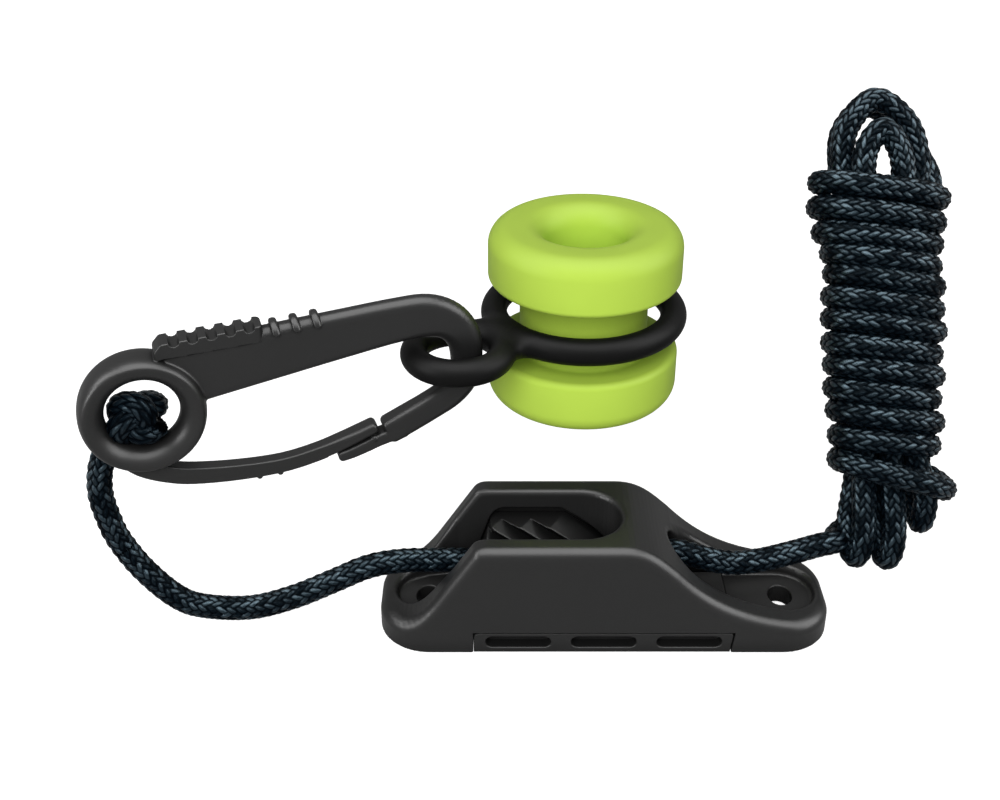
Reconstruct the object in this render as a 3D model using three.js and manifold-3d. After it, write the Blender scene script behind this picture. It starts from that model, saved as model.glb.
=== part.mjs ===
// Line cleat with a snap-hook lead: a base-mounted jam cleat that grips a braided cord.
// One end of the cord carries a snap hook, a figure-eight rubber ring and a rubber bobbin;
// the spare cord on the other side is folded and wrapped into a hank.
// Millimetres, +Z up. Origin: centre of the cleat's mounting face. +X runs along the cord
// from the hook side to the hank side, and +Y is the side on which the bobbin hangs.
import * as THREE from 'three';
import { mergeVertices } from 'three/addons/utils/BufferGeometryUtils.js';
import Module from 'manifold-3d';

const wasm = await Module();
wasm.setup();

// ---- driving dimensions ----
const CLEARANCE = 0.3;
const cord = { radius: 2.5, packedRadius: 2.2, height: 13.3, sides: 8 };
const knot = { radius: 5.4, forward: 1.2, tailRadius: 2, riserShare: 0.9 };
const housing = {
  start: -46.9, end: 46.2, halfWidth: 13.7, height: 25, padHeight: 6.2, cornerRadius: 10.6,
  edgeRadius: 2,
};
const mouth = { halfWidth: 8.1, flareX: -31, roundCentreX: -5.3 };
const chamber = { halfWidth: 10.8, left: -24.6, right: 8, floor: 3 };
const tunnel = { startX: -6, length: 26, rise: 1.4, radius: 4.7 };
const screw = { x: 37, halfX: 2.8, halfY: 3.3, seatRadius: 6.4, seatHeight: 4.3 };
const exitPocket = { startX: 20, startRadius: 7, endX: 36.6, endRadius: 7.3 };
const rail = {
  left: -27.4, right: 25.5, height: 4.7, taper: 0.6, slotLength: 13, slotHeight: 2.5, slotDepth: 3,
  slotMiddleZ: 2.65, firstSlotX: -18.3, slotPitch: 17.4,
};
const jaw = {
  left: -24.2, right: 6.2, bottom: 4.2, top: 18.4, back: 10.4, firstRoot: -21.8, pitch: 6.15,
  toothDepth: 3.5, ridgeShare: 0.65, lean: 0.25, rake: 1.6,
};
const hook = {
  eyeCentre: new THREE.Vector3(-88.7, -9.9, 55.4), yaw: THREE.MathUtils.degToRad(17),
  eyeRadius: 9.4, eyeThickness: 4.6, eyeDepth: 8, beamDepth: 4.2, noseDepth: 4.8, gateDepth: 3,
  gripDepth: 4.8, gripStart: 3.5, gripLength: 19.4, gripMiddle: 11.9, gripThickness: 2.6,
  gripRise: 0.055, ridgeMiddle: 13, ridgeStart: 1.2, ridgeLength: 1.4, notchPitch: 3.45,
  armDepth: 4.4, tongueDepth: 4, rootDepth: 3.4,
};
const ring = {
  height: 57.2, tube: 2.75, smallRadius: 8.75, largeRadius: 18.75,
  smallCentre: new THREE.Vector2(-30.3, 9.3), waistOffset: 1.4, waistHalfLength: 2.6, waistHalfWidth: 5.4,
};
const bobbin = {
  centre: new THREE.Vector3(-4.5, 28, 57.5), radius: 20, halfHeight: 19.2,
  neckRadius: 13.4, grooveHalf: 7.4, neckFillet: 1, grooveRound: 1.2, boreRadius: 8.5,
  mouthRadius: 4.5, rimRadius: 4.2,
};
const hank = {
  foot: new THREE.Vector3(58.9, 3.4, 10.8), lean: THREE.MathUtils.degToRad(28),
  wraps: 12.5, pitch: 4.75, firstWrap: 24.5, halfWidth: 9.9, halfDepth: 7.3, column: 3.6, row: 1.85,
  flareStart: 64, flareEnd: 75, flareWidth: 2.4, flareShift: 1.4, slackDrop: 4, slackWidth: 2.6,
};

// ---- materials ----
const satinBlack = { color: 0x2b2b2b, roughness: 0.55, metalness: 0 };
const rubberBlack = { color: 0x232323, roughness: 0.6, metalness: 0 };
const rubberLime = { color: 0xc4ec58, roughness: 0.6, metalness: 0 };
const braid = { color: 0x11161c, roughness: 0.7, metalness: 0 };

// ---- solids ----
function fromIndexed(geometry) {
  return new wasm.Manifold(new wasm.Mesh({
    numProp: 3,
    vertProperties: new Float32Array(geometry.attributes.position.array),
    triVerts: new Uint32Array(geometry.index.array),
  }));
}

function toSolid(geometry) {
  const bare = geometry.clone();
  bare.deleteAttribute('normal');
  bare.deleteAttribute('uv');
  return fromIndexed(mergeVertices(bare, 1e-4));
}

function toGeometry(solid) {
  const mesh = solid.getMesh();
  const geometry = new THREE.BufferGeometry();
  geometry.setAttribute('position', new THREE.BufferAttribute(mesh.vertProperties, 3));
  geometry.setIndex(new THREE.BufferAttribute(mesh.triVerts, 1));
  geometry.computeVertexNormals();
  return geometry;
}

function named(name, solid, look) {
  const mesh = new THREE.Mesh(toGeometry(solid), new THREE.MeshStandardMaterial(look));
  mesh.name = name;
  return mesh;
}

function union(solids) {
  return solids.reduce((sum, solid) => sum.add(solid));
}

// A closed body through a row of rings that all have the same number of points.
function loft(rings) {
  const count = rings[0].length;
  const points = rings.flat();
  const faces = [];
  for (let r = 0; r < rings.length - 1; r += 1) {
    for (let i = 0; i < count; i += 1) {
      const a = r * count + i;
      const b = r * count + (i + 1) % count;
      faces.push(a, b, b + count, a, b + count, a + count);
    }
  }
  for (const [start, turn] of [[0, true], [(rings.length - 1) * count, false]]) {
    const middle = new THREE.Vector3();
    for (let i = 0; i < count; i += 1) middle.addScaledVector(points[start + i], 1 / count);
    points.push(middle);
    for (let i = 0; i < count; i += 1) {
      const a = start + i;
      const b = start + (i + 1) % count;
      faces.push(...(turn ? [b, a, points.length - 1] : [a, b, points.length - 1]));
    }
  }
  const geometry = new THREE.BufferGeometry().setFromPoints(points);
  geometry.setIndex(faces);
  return fromIndexed(geometry);
}

// An outline in the XY plane raised from one height to another.
function prism(shape, bottom, top, curveSegments = 10) {
  const geometry = new THREE.ExtrudeGeometry(shape, {
    depth: top - bottom, bevelEnabled: false, curveSegments,
  });
  geometry.translate(0, 0, bottom);
  return toSolid(geometry);
}

// An outline drawn in X and Z, carried along Y from one side to the other.
function sideways(shape, low, high, curveSegments = 8) {
  const geometry = new THREE.ExtrudeGeometry(shape, {
    depth: high - low, bevelEnabled: false, curveSegments,
  });
  geometry.rotateX(Math.PI / 2);
  geometry.translate(0, high, 0);
  return toSolid(geometry);
}

function polygon(points) {
  return new THREE.Shape(points.map(([x, y]) => new THREE.Vector2(x, y)));
}

function slot(x0, y0, x1, y1, radius) {
  const shape = new THREE.Shape();
  const along = Math.atan2(y1 - y0, x1 - x0);
  shape.absarc(x1, y1, radius, along - Math.PI / 2, along + Math.PI / 2);
  shape.absarc(x0, y0, radius, along + Math.PI / 2, along + 3 * Math.PI / 2);
  return shape;
}

function tube(points, radius, steps, sides = cord.sides) {
  const path = new THREE.CatmullRomCurve3(points.map((p) => new THREE.Vector3(...p)));
  const section = new THREE.Shape();
  section.absarc(0, 0, radius, 0, 2 * Math.PI);
  return toSolid(new THREE.ExtrudeGeometry(section, {
    extrudePath: path, steps, curveSegments: sides / 2,
  }));
}

// ---- cleat housing ----
// Height of the top surface along the cleat: hook-side pad, steep rise, flat crown, then a
// long sweep down to the hank-side pad.
function crownProfile() {
  const top = housing.height;
  const pad = housing.padHeight;
  const path = new THREE.Path();
  path.moveTo(housing.start - 1, pad);
  path.lineTo(-43, pad);
  path.quadraticCurveTo(-38.9, pad, -34.6, 13.1);
  path.lineTo(-27.6, 23.7);
  path.quadraticCurveTo(-26.7, top, -24.6, top);
  path.lineTo(2.2, top);
  path.bezierCurveTo(7.6, top, 10.3, 22, 13.6, 19);
  path.bezierCurveTo(18, 14.4, 26, pad + 0.4, 42, pad + 0.1);
  path.lineTo(housing.end + 1, pad);
  return path.getPoints(8);
}

function heightAt(profile, x) {
  const next = profile.findIndex((p) => p.x > x);
  const a = profile[next - 1];
  const b = profile[next];
  const slope = (b.y - a.y) / (b.x - a.x);
  return { z: a.y + slope * (x - a.x), stretch: Math.hypot(1, slope) };
}

// Distance from a station to the nearer end of the housing.
function fromEnd(x) {
  return Math.min(x - housing.start, housing.end - x);
}

// Half-width of the plan outline: parallel sides with rounded ends.
function halfWidthAt(x) {
  const past = housing.cornerRadius - fromEnd(x);
  if (past <= 0) return housing.halfWidth;
  const inner = housing.halfWidth - housing.cornerRadius;
  return inner + Math.sqrt(Math.max(0, housing.cornerRadius ** 2 - past ** 2));
}

// One cross-section of the blank, with its top edges rounded.
function housingRing(profile, x) {
  const { z, stretch } = heightAt(profile, x);
  const half = halfWidthAt(x);
  const radius = housing.edgeRadius;
  const short = Math.max(0, radius - fromEnd(x));
  const endDrop = radius - Math.sqrt(radius ** 2 - short ** 2);
  const shoulder = [];
  for (let i = 0; i <= 3; i += 1) {
    const turn = (i / 3) * (Math.PI / 2);
    const drop = Math.max(radius * (1 - Math.sin(turn)) * Math.min(stretch, 1.7), endDrop);
    shoulder.push([half - radius * (1 - Math.cos(turn)), z - drop]);
  }
  const right = [[half, 0], ...shoulder];
  const left = right.map(([y, height]) => [-y, height]).reverse();
  return [...right, ...left].map(([y, height]) => new THREE.Vector3(x, y, height));
}

function housingBlank() {
  const profile = crownProfile();
  const inStraight = (x) => fromEnd(x) > housing.cornerRadius;
  const xs = profile.map((p) => p.x).filter(inStraight);
  for (const inset of [0, 0.35, 1, 2, 3.6, 5.6, 8, housing.cornerRadius]) {
    xs.push(housing.start + inset, housing.end - inset);
  }
  xs.sort((a, b) => a - b);
  return loft(xs.map((x) => housingRing(profile, x)));
}

function screwCut(side, low) {
  const hole = new THREE.Shape();
  hole.absellipse(side * screw.x, 0, screw.halfX, screw.halfY, 0, 2 * Math.PI);
  return prism(hole, low, housing.height, 8);
}

function mouthCut() {
  const seat = slot(-screw.x, 0, -screw.x + 4, 0, screw.seatRadius);
  const channel = new THREE.Shape();
  channel.moveTo(-screw.x, -screw.seatRadius);
  channel.lineTo(mouth.flareX, -mouth.halfWidth);
  channel.lineTo(mouth.roundCentreX, -mouth.halfWidth);
  channel.absarc(mouth.roundCentreX, 0, mouth.halfWidth, -Math.PI / 2, Math.PI / 2);
  channel.lineTo(mouth.flareX, mouth.halfWidth);
  channel.lineTo(-screw.x, screw.seatRadius);
  const above = housing.height + 1;
  return union([prism(seat, screw.seatHeight, above), prism(channel, screw.seatHeight, above, 12)]);
}

// Room for the jaws behind the mouth's side walls, open to the rail's notch below.
function jawChamber() {
  const { left, right, floor, halfWidth } = chamber;
  const shape = polygon([
    [left, floor], [left, 18.6], [left + 2, 20.9], [-9.3, 20.9], [3.5, 11.9], [right, 10.4], [right, floor],
  ]);
  return sideways(shape, -halfWidth, halfWidth);
}

function exitCuts() {
  const pocket = new THREE.Shape();
  const { startX, startRadius, endX, endRadius } = exitPocket;
  pocket.absarc(startX, 0, startRadius, Math.PI / 2, 3 * Math.PI / 2);
  pocket.absarc(endX, 0, endRadius, -Math.PI / 2, Math.PI / 2);
  const round = new THREE.Shape();
  round.absarc(0, cord.height + tunnel.rise, tunnel.radius, 0, 2 * Math.PI);
  const bore = new THREE.ExtrudeGeometry(round, {
    depth: tunnel.length, bevelEnabled: false, curveSegments: 8,
  });
  bore.rotateX(Math.PI / 2);
  bore.rotateZ(Math.PI / 2);
  bore.translate(tunnel.startX, 0, 0);
  return union([prism(pocket, screw.seatHeight, housing.height), toSolid(bore)]);
}

function railNotch() {
  const side = housing.halfWidth + 1;
  const top = rail.height + CLEARANCE;
  return sideways(polygon([
    [rail.left, -1], [rail.left, top], [rail.right - rail.taper, top], [rail.right, -1],
  ]), -side, side);
}

function buildHousing() {
  const cuts = [mouthCut(), jawChamber(), exitCuts(), railNotch(), screwCut(-1, -1), screwCut(1, -1)];
  return cuts.reduce((solid, cut) => solid.subtract(cut), housingBlank());
}

// ---- jaw insert: a base rail with a pair of toothed cheeks that form a V ----
function railBody() {
  const left = rail.left + CLEARANCE;
  const right = rail.right - CLEARANCE;
  const shape = polygon([
    [left, 0], [left, 3.6], [left + 1.1, rail.height], [right - 1, rail.height],
    [right - 0.4, 0],
  ]);
  return sideways(shape, -housing.halfWidth, housing.halfWidth);
}

function railSlots() {
  const round = rail.slotHeight / 2;
  const half = rail.slotLength / 2 - round;
  const cuts = [];
  for (let i = 0; i < 3; i += 1) {
    const middleX = rail.firstSlotX + i * rail.slotPitch;
    const shape = slot(middleX - half, rail.slotMiddleZ, middleX + half, rail.slotMiddleZ, round);
    const outside = housing.halfWidth + 1;
    const inside = housing.halfWidth - rail.slotDepth;
    cuts.push(sideways(shape, -outside, -inside, 4), sideways(shape, inside, outside, 4));
  }
  return union(cuts);
}

// A cheek's outline at one height: a straight back and a sawtooth face that leans away from
// the cord as it rises. The ridges rake down towards the hank side.
function cheekRing(side, z) {
  const face = cord.radius + 1.4 * CLEARANCE + (z - cord.height) * jaw.lean;
  const firstRoot = jaw.firstRoot + (jaw.top - z) * jaw.rake;
  const outline = [];
  for (let i = -5; i <= 5; i += 1) {
    const root = firstRoot + i * jaw.pitch;
    outline.push([root, face + jaw.toothDepth], [root + jaw.pitch * jaw.ridgeShare, face]);
  }
  const ends = [outline[outline.length - 1][0], outline[0][0]];
  outline.push([ends[0], jaw.back], [ends[1], jaw.back]);
  const ordered = side > 0 ? outline : outline.map(([x, y]) => [x, -y]).reverse();
  return ordered.map(([x, y]) => new THREE.Vector3(x, y, z));
}

function buildInsert() {
  const { left, right, bottom, top } = jaw;
  const trim = sideways(polygon([
    [left, bottom], [left, top - 1.8], [left + 1.6, top], [-8.4, top], [1.5, 11.4], [right, 10.4],
    [right, bottom],
  ]), -housing.halfWidth, housing.halfWidth);
  const cheek = (side) => loft([cheekRing(side, bottom - 0.2), cheekRing(side, top + 1)]);
  const cheeks = [-1, 1].map(cheek);
  const jaws = union(cheeks).intersect(trim);
  return railBody().add(jaws).subtract(railSlots());
}

// ---- cord ----
function buildRunningLine() {
  const z = cord.height;
  return tube([[-34.5, 0, z], [-20, 0, z], [0, 0, z], [6, 0, z + 0.6], [13.6, 0, 15.6], [19.5, 0, 14.1],
    [25.7, 0, 12.6], [31.6, 0.6, 12.7], [38, 2, 13.4]], cord.radius, 28);
}

function buildLead() {
  return tube([[-35.6, 0, 13.3], [-42.7, -1, 13.8], [-49.3, -2.5, 13.4], [-56.2, -4, 11], [-64.5, -5.5, 8],
    [-73.6, -6.5, 6], [-83.3, -7, 6.9], [-88.6, -7, 9.6], [-94.3, -6.5, 15.8], [-98.2, -5.6, 22.2],
    [-99.6, -5, 27]], cord.radius, 34);
}

function buildRiser() {
  return tube([[-99.8, -4.9, 27.8], [-100.3, -4.2, 33], [-99.4, -3.2, 39], [-96.9, -2.4, 44.8],
    [-94, -2.2, 49.2], [-92, -2.8, 51.4]], cord.radius * knot.riserShare, 16);
}

// The stopper knot is a ball of cord seated in the eye, joined to its short tail.
function buildKnot() {
  const ball = new THREE.SphereGeometry(knot.radius, 14, 10);
  ball.translate(hook.eyeCentre.x, hook.eyeCentre.y - knot.forward, hook.eyeCentre.z);
  const tail = tube([[-88, -12, 55], [-85.5, -13, 54.5], [-83.6, -14, 54.2]], knot.tailRadius, 4);
  return toSolid(ball).add(tail);
}

function hankPoint(across, along, behind) {
  const up = new THREE.Vector3(0, Math.sin(hank.lean), Math.cos(hank.lean));
  const back = new THREE.Vector3(0, Math.cos(hank.lean), -Math.sin(hank.lean));
  return hank.foot.clone().add(new THREE.Vector3(across, 0, 0))
    .addScaledVector(up, along).addScaledVector(back, behind).toArray();
}

function buildTail() {
  return tube([[39, 2.3, 13.5], [44.7, 3.6, 14.4], [48.6, 4.8, 14.6]], cord.radius, 6);
}

// The hank grows wider, and shifts a little towards the cleat, under its top wraps.
function hankFlare(along) {
  return THREE.MathUtils.smoothstep(along, hank.flareStart, hank.flareEnd);
}

// Folded strands that run the length of the hank: two loops stand out of its top and three
// bights hang out of its foot. Their legs meet inside the wraps.
function buildBights() {
  const { column, row } = hank;
  const low = 48;
  const high = 52;
  const outer = [[-column, low], [-column, 62], [-6.5, 75], [-9.4, 84], [-8.8, 91], [-2.4, 96.6],
    [4.9, 91.8], [6.8, 84], [3.7, 76], [column, 62], [column, low]];
  const inner = [[-column, low], [-column, 66], [-4.9, 78], [-4.4, 86], [-0.9, 90.4], [2.2, 86.6],
    [3.3, 78], [column, 66], [column, low]];
  const foot = ([x, drop, out]) => [[x, high, row], [x, 20, row], [out, drop + 5, row * 1.1],
    [out, drop, 0], [out, drop + 5, -row * 1.1], [x, 20, -row], [x, high, -row]];
  const loops = [outer.map((p) => [...p, row]), inner.map((p) => [...p, -row])];
  const feet = [[-column, 0.8, -5.6], [0, 0.5, 0.8], [column, 7.9, 6.2]].map(foot);
  const strand = (points, radius) => tube(points.map((p) => hankPoint(...p)), radius, 18, 6);
  return union([
    ...loops.map((points) => strand(points, cord.packedRadius - 0.1)),
    ...feet.map((points) => strand(points, cord.packedRadius - 0.2)),
  ]);
}

// The wraps rise from one loose turn at the foot to the flared turns at the top.
function buildWraps() {
  const perTurn = 12;
  const points = [];
  for (let i = 0; i <= hank.wraps * perTurn; i += 1) {
    const turns = i / perTurn;
    const slack = Math.max(0, 1 - turns) ** 2;
    const along = hank.firstWrap + (turns - 1) * hank.pitch - hank.slackDrop * slack;
    const flare = hankFlare(along);
    const half = hank.halfWidth + hank.flareWidth * flare + hank.slackWidth * slack;
    const angle = 2 * Math.PI * turns + Math.PI / 2;
    const across = half * Math.sin(angle) - hank.flareShift * flare;
    points.push(hankPoint(across, along, hank.halfDepth * Math.cos(angle)));
  }
  return tube(points, cord.packedRadius, hank.wraps * perTurn, 6);
}

// ---- snap hook ----
// Points of the hook are given along its plane (p), up (q) and across it (depth).
function hookPoint(p, q, depth) {
  const along = new THREE.Vector3(Math.cos(hook.yaw), Math.sin(hook.yaw), 0);
  const across = new THREE.Vector3(-Math.sin(hook.yaw), Math.cos(hook.yaw), 0);
  return hook.eyeCentre.clone().addScaledVector(along, p).addScaledVector(across, depth)
    .add(new THREE.Vector3(0, 0, q));
}

// A bar that follows stations [p, q, thickness in the plane, depth]. Its corners are rounded
// by the given share of its smaller side.
function hookBar(stations, steps, roundness = 0.4) {
  const centres = new THREE.CatmullRomCurve3(stations.map(([p, q]) => new THREE.Vector3(p, q, 0)));
  const sizes = new THREE.CatmullRomCurve3(stations.map(([, , t, d]) => new THREE.Vector3(t, d, 0)));
  const rings = [];
  for (let i = 0; i <= steps; i += 1) {
    const at = centres.getPoint(i / steps);
    const tangent = centres.getTangent(i / steps);
    const size = sizes.getPoint(i / steps);
    const corner = Math.min(size.x, size.y) * roundness;
    const points = [];
    for (const [sideT, sideD, start] of [[1, 1, 0], [-1, 1, 1], [-1, -1, 2], [1, -1, 3]]) {
      for (const part of [0, 0.5, 1]) {
        const turn = (start + part) * (Math.PI / 2);
        const t = sideT * (size.x / 2 - corner) + corner * Math.cos(turn);
        const d = sideD * (size.y / 2 - corner) + corner * Math.sin(turn);
        points.push(hookPoint(at.x - tangent.y * t, at.y + tangent.x * t, d));
      }
    }
    rings.push(points.reverse());
  }
  return loft(rings);
}

function buildEye() {
  const profile = [];
  for (let i = 0; i <= 10; i += 1) {
    const turn = (i / 10) * 2 * Math.PI;
    const y = (hook.eyeDepth / 2) * Math.sin(turn);
    profile.push(new THREE.Vector2(hook.eyeRadius + (hook.eyeThickness / 2) * Math.cos(turn), y));
  }
  profile[10] = profile[0].clone();
  const geometry = new THREE.LatheGeometry(profile, 26);
  geometry.rotateZ(Math.PI);
  geometry.rotateZ(hook.yaw);
  geometry.translate(...hook.eyeCentre.toArray());
  return toSolid(geometry);
}

// A thumb grip along the top of the spine beside the eye, with ridges across it.
function buildGrip() {
  const { gripStart, gripLength, gripRise, gripDepth, notchPitch, ridgeStart } = hook;
  const bar = (p, q, length, depth) => hookBar([
    [p, q, hook.gripThickness, depth],
    [p + length, q + length * gripRise, hook.gripThickness, depth],
  ], 2, 0.12);
  const ridges = [];
  for (let i = 0; i < 6; i += 1) {
    const along = ridgeStart + i * notchPitch;
    const length = Math.min(hook.ridgeLength, gripLength - along - 0.05);
    ridges.push(bar(gripStart + along, hook.ridgeMiddle + along * gripRise, length, gripDepth - 1.6));
  }
  return union([bar(gripStart, hook.gripMiddle, gripLength, gripDepth), ...ridges]);
}

function buildHookBody() {
  const { beamDepth, noseDepth, armDepth, tongueDepth, rootDepth } = hook;
  const spine = hookBar([
    [9.6, 6.4, 12.6, beamDepth], [24, 8.3, 11.3, beamDepth], [38, 10.1, 9.9, beamDepth],
    [49, 11.4, 9, beamDepth], [55, 11.6, 8.5, armDepth], [59.3, 10, 7.1, 4.6],
    [62, 6.5, 5.9, noseDepth], [62.7, 2, 5.2, noseDepth], [62.1, -2.7, 5.2, noseDepth],
    [59.4, -6, 5.6, armDepth], [54.8, -8.6, 5.5, armDepth], [50, -10.9, 5.4, armDepth],
    [47.2, -12.2, 5.2, armDepth],
  ], 30);
  const tongue = hookBar([
    [48.6, -12.9, 2.8, tongueDepth], [44.6, -13.8, 2.4, tongueDepth], [41.5, -15, 2.3, tongueDepth],
    [38.5, -16, 2.1, tongueDepth], [36.3, -16.55, 1.8, tongueDepth],
  ], 6, 0.2);
  const gateRoot = hookBar([
    [-5.5, -10.4, 2.8, rootDepth], [-1.5, -12.8, 3.2, rootDepth], [2.6, -14.2, 3.2, rootDepth],
  ], 4, 0.2);
  return union([buildEye(), spine, tongue, gateRoot, buildGrip()]);
}

function buildGate() {
  const depth = hook.gateDepth;
  return hookBar([
    [3.2, -14.4, 3.3, depth], [8, -15.5, 3.5, depth], [16.4, -16.5, 3.4, depth], [25, -16.5, 3.05, depth],
    [32, -15.2, 2.9, depth], [37, -13.5, 2.7, depth], [40.5, -12.2, 2.4, depth], [43.4, -11, 2.1, depth],
  ], 16, 0.15);
}

// ---- rubber pieces ----
function torusAt(centre, radius) {
  const geometry = new THREE.TorusGeometry(radius, ring.tube, 8, 28);
  geometry.translate(centre.x, centre.y, ring.height);
  return toSolid(geometry);
}

function buildDoubleRing() {
  const small = ring.smallCentre;
  const large = new THREE.Vector2(bobbin.centre.x, bobbin.centre.y);
  const toLarge = large.clone().sub(small).normalize();
  const waist = small.clone().addScaledVector(toLarge, ring.smallRadius + ring.waistOffset);
  const web = new THREE.SphereGeometry(1, 16, 10);
  web.scale(ring.waistHalfLength, ring.waistHalfWidth, ring.tube * 0.96);
  web.rotateZ(toLarge.angle());
  web.translate(waist.x, waist.y, ring.height);
  return union([torusAt(small, ring.smallRadius), torusAt(large, ring.largeRadius), toSolid(web)]);
}

function buildBobbin() {
  const {
    radius, halfHeight, neckRadius, grooveHalf, neckFillet, grooveRound, boreRadius, mouthRadius,
    rimRadius,
  } = bobbin;
  const half = [];
  const arc = (x, y, size, from, to, count) => {
    for (let i = 0; i <= count; i += 1) {
      const turn = THREE.MathUtils.degToRad(from + (to - from) * (i / count));
      half.push([x + size * Math.cos(turn), y + size * Math.sin(turn)]);
    }
  };
  half.push([neckRadius, 0]);
  arc(neckRadius + neckFillet, grooveHalf - neckFillet, neckFillet, 180, 90, 1);
  arc(radius - grooveRound, grooveHalf + grooveRound, grooveRound, -90, 0, 1);
  arc(radius - rimRadius, halfHeight - rimRadius, rimRadius, 0, 90, 3);
  arc(boreRadius + mouthRadius, halfHeight - mouthRadius, mouthRadius, 90, 180, 3);
  const lower = half.slice(1).map(([r, z]) => [r, -z]).reverse();
  const outline = [...lower, ...half].map(([r, z]) => new THREE.Vector2(r, z));
  outline.push(outline[0].clone());
  const geometry = new THREE.LatheGeometry(outline, 28);
  geometry.rotateX(Math.PI / 2);
  geometry.translate(...bobbin.centre.toArray());
  return toSolid(geometry);
}

// ---- assembly ----
const object = new THREE.Group();
object.add(
  named('cleat_housing', buildHousing(), satinBlack),
  named('jaw_insert', buildInsert(), satinBlack),
  named('line_in_cleat', buildRunningLine(), braid),
  named('line_lead', buildLead(), braid),
  named('line_riser', buildRiser(), braid),
  named('stopper_knot', buildKnot(), braid),
  named('line_tail', buildTail(), braid),
  named('hank_bights', buildBights(), braid),
  named('hank_wraps', buildWraps(), braid),
  named('snap_hook_body', buildHookBody(), satinBlack),
  named('snap_hook_gate', buildGate(), satinBlack),
  named('double_ring', buildDoubleRing(), rubberBlack),
  named('bobbin', buildBobbin(), rubberLime),
);
export default object;
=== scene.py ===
"""Looks for the line cleat with its snap-hook lead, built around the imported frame.

Shapes are worked out in millimetres in the frame's own axes and turned into metres when a mesh is
made. Moulded pieces are skins of distance fields, so that every edge carries a real round. The
cord is a tube whose surface is woven stitch by stitch.
"""
import math

import bpy
import numpy as np
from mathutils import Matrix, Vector


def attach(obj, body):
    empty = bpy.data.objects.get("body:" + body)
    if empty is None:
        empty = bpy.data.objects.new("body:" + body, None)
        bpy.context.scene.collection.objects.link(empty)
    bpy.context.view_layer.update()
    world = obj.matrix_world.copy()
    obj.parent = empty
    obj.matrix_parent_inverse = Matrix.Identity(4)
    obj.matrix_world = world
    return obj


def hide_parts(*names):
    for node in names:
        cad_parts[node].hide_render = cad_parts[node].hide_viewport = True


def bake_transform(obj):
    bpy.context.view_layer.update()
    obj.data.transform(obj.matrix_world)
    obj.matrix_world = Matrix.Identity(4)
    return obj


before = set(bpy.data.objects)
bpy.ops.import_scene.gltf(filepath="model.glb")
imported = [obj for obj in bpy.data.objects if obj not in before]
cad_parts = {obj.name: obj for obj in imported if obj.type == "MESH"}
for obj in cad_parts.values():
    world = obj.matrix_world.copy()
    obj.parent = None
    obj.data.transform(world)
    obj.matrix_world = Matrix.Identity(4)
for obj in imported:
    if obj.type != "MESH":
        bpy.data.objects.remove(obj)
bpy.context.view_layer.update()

MM = 0.001
FAR = 1e9

# ---- sizes of the cells that skins are made from, millimetres ----
SOFT_CELL = 0.3
HOOK_CELL = 0.23
TOOTH_CELL = 0.21

# ---- driving dimensions, millimetres ----
CORD_RADIUS = 2.5
CORD_HEIGHT = 13.3

HOUSING_MIDDLE_X = -0.35
HOUSING_HALF_LENGTH = 46.55
HOUSING_HALF_WIDTH = 13.7
HOUSING_CORNER = 10.6
TOP_EDGE_ROUND = 2.45
RIM_ROUND = 1.35
FLOOR_ROUND = 0.7
CROWN_HEIGHT = 25.0
PAD_HEIGHT = 6.2
SEAT_HEIGHT = 4.3
SEAT_RADIUS = 6.4
SCREW_X = 37.0
SCREW_Y = -0.2
SCREW_HALF_X = 2.5
SCREW_HALF_Y = 3.2
MOUTH_HALF_WIDTH = 8.1
MOUTH_ROUND_X = -5.3
BORE_RADIUS = 4.7
BORE_HEIGHT = 14.7
BORE_MIDDLE_X = 7.0
BORE_HALF_LENGTH = 13.0
CHAMBER_HALF_WIDTH = 10.8
CHAMBER_TOP = 20.9

RAIL_HALF_WIDTH = 13.55
RAIL_SLOTS_X = (-18.3, -0.9, 16.5)
RAIL_SLOT_HEIGHT = 2.6
RAIL_SLOT_HALF_LENGTH = 6.6
RAIL_SLOT_HALF_HEIGHT = 1.35
RAIL_SLOT_FLOOR = 10.7
FOOT_MIDDLE_X = 14.6
FOOT_HALF_LENGTH = 10.4
FOOT_HALF_WIDTH = 4.2
FOOT_TOP = 7.2
JAW_TOP = 18.4
JAW_BACK = 10.4
JAW_FACE = 2.95
JAW_LEAN = 0.25
TOOTH_RAKE = 1.6
FIRST_ROOT_X = -21.8
TOOTH_PITCH = 6.15
TOOTH_DEPTH = 3.6
TOOTH_TIP = 0.65

EYE = np.array([-88.7, -9.9, 55.4])
HOOK_YAW = math.radians(17)
EYE_RADIUS = 9.4
NOTCHES = 5
NOTCH_PITCH = 3.45
RIBS_P = (25.6, 29.5, 33.45)
RIB_HEIGHT = 1.0
RIB_HALF_WIDTH = 0.78
GATE_NUBS = ((20.2, -18.1), (24.3, -17.95))

RING_HEIGHT = 57.2
RING_TUBE = 2.75
RING_FILLET = 4.5
SMALL_LOOP = (-30.3, 9.3, 8.75)

BOBBIN = np.array([-4.5, 28.0, 57.5])
BOBBIN_RADIUS = 20.0
BOBBIN_HALF_HEIGHT = 19.2
LARGE_LOOP = (BOBBIN[0], BOBBIN[1], 18.75)

HANK_FOOT = np.array([58.9, 3.4, 10.8])
HANK_LEAN = math.radians(28)
HANK_DEPTH = 7.4


# ---- meshes ----
def make_piece(name, points, faces, material, normals=None):
    """A smooth-shaded piece from points in millimetres."""
    mesh = bpy.data.meshes.new(name)
    mesh.from_pydata((np.asarray(points) * MM).tolist(), [], faces)
    mesh.validate()
    mesh.shade_smooth()
    if normals is not None:
        mesh.normals_split_custom_set_from_vertices(np.asarray(normals).tolist())
    mesh.materials.append(material)
    piece = bpy.data.objects.new(name, mesh)
    bpy.context.scene.collection.objects.link(piece)
    return piece


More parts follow.
